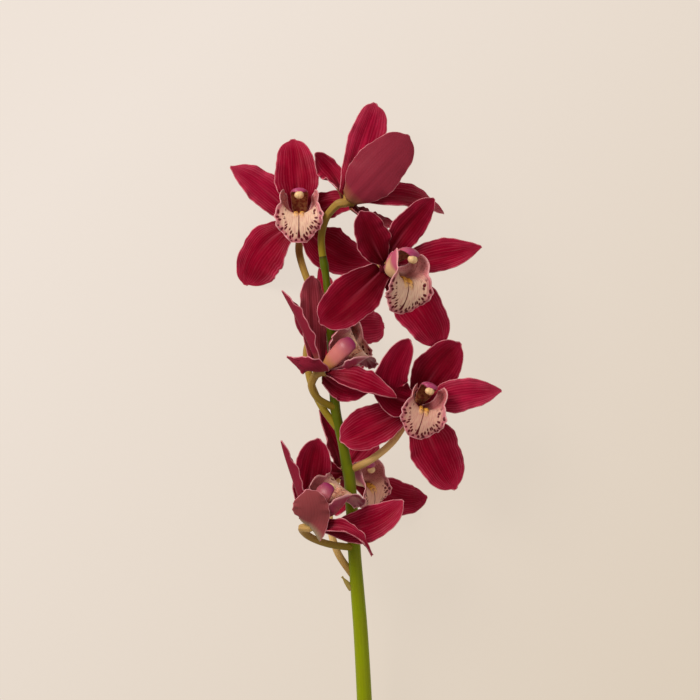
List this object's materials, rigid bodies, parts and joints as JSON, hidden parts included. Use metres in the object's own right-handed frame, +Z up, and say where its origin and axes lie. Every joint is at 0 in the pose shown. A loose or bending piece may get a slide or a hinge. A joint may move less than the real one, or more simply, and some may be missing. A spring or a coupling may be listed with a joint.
{
  "type": "cymbidium orchid stem",
  "caption": "Cut stem of dark red cymbidium orchid blooms with cream, spotted lips, lying on a table",
  "frame": {"origin": "on the table, below the middle of the whole stem's box", "axes": "+Y runs along the stem from its cut end to its tip, +Z is up from the table, +X is to the right when the tip points away"},
  "size_m": [0.1482, 0.4464, 0.0895],
  "materials": {
    "tepal": "satin",
    "lip": "satin",
    "column": "satin",
    "stem": "satin"
  },
  "bodies": {
    "root": {"stem": "stem", "bloom_1_dorsal_sepal": "tepal", "bloom_1_left_petal": "tepal", "bloom_1_right_petal": "tepal", "bloom_1_left_sepal": "tepal", "bloom_1_right_sepal": "tepal", "bloom_1_lip": "lip", "bloom_1_column": "column", "bloom_2_dorsal_sepal": "tepal", "bloom_2_left_petal": "tepal", "bloom_2_right_petal": "tepal", "bloom_2_left_sepal": "tepal", "bloom_2_right_sepal": "tepal", "bloom_2_lip": "lip", "bloom_2_column": "column", "bloom_3_dorsal_sepal": "tepal", "bloom_3_left_petal": "tepal", "bloom_3_right_petal": "tepal", "bloom_3_left_sepal": "tepal", "bloom_3_right_sepal": "tepal", "bloom_3_lip": "lip", "bloom_3_column": "column", "bloom_4_dorsal_sepal": "tepal", "bloom_4_left_petal": "tepal", "bloom_4_right_petal": "tepal", "bloom_4_left_sepal": "tepal", "bloom_4_right_sepal": "tepal", "bloom_4_lip": "lip", "bloom_4_column": "column", "bloom_5_dorsal_sepal": "tepal", "bloom_5_left_petal": "tepal", "bloom_5_right_petal": "tepal", "bloom_5_left_sepal": "tepal", "bloom_5_right_sepal": "tepal", "bloom_5_lip": "lip", "bloom_5_column": "column", "bloom_6_dorsal_sepal": "tepal", "bloom_6_left_petal": "tepal", "bloom_6_right_petal": "tepal", "bloom_6_left_sepal": "tepal", "bloom_6_right_sepal": "tepal", "bloom_6_lip": "lip", "bloom_6_column": "column", "bloom_7_dorsal_sepal": "tepal", "bloom_7_left_petal": "tepal", "bloom_7_right_petal": "tepal", "bloom_7_left_sepal": "tepal", "bloom_7_right_sepal": "tepal", "bloom_7_lip": "lip", "bloom_7_column": "column", "bloom_8_dorsal_sepal": "tepal", "bloom_8_left_petal": "tepal", "bloom_8_right_petal": "tepal", "bloom_8_left_sepal": "tepal", "bloom_8_right_sepal": "tepal", "bloom_8_lip": "lip", "bloom_8_column": "column"}
  },
  "joints": []
}
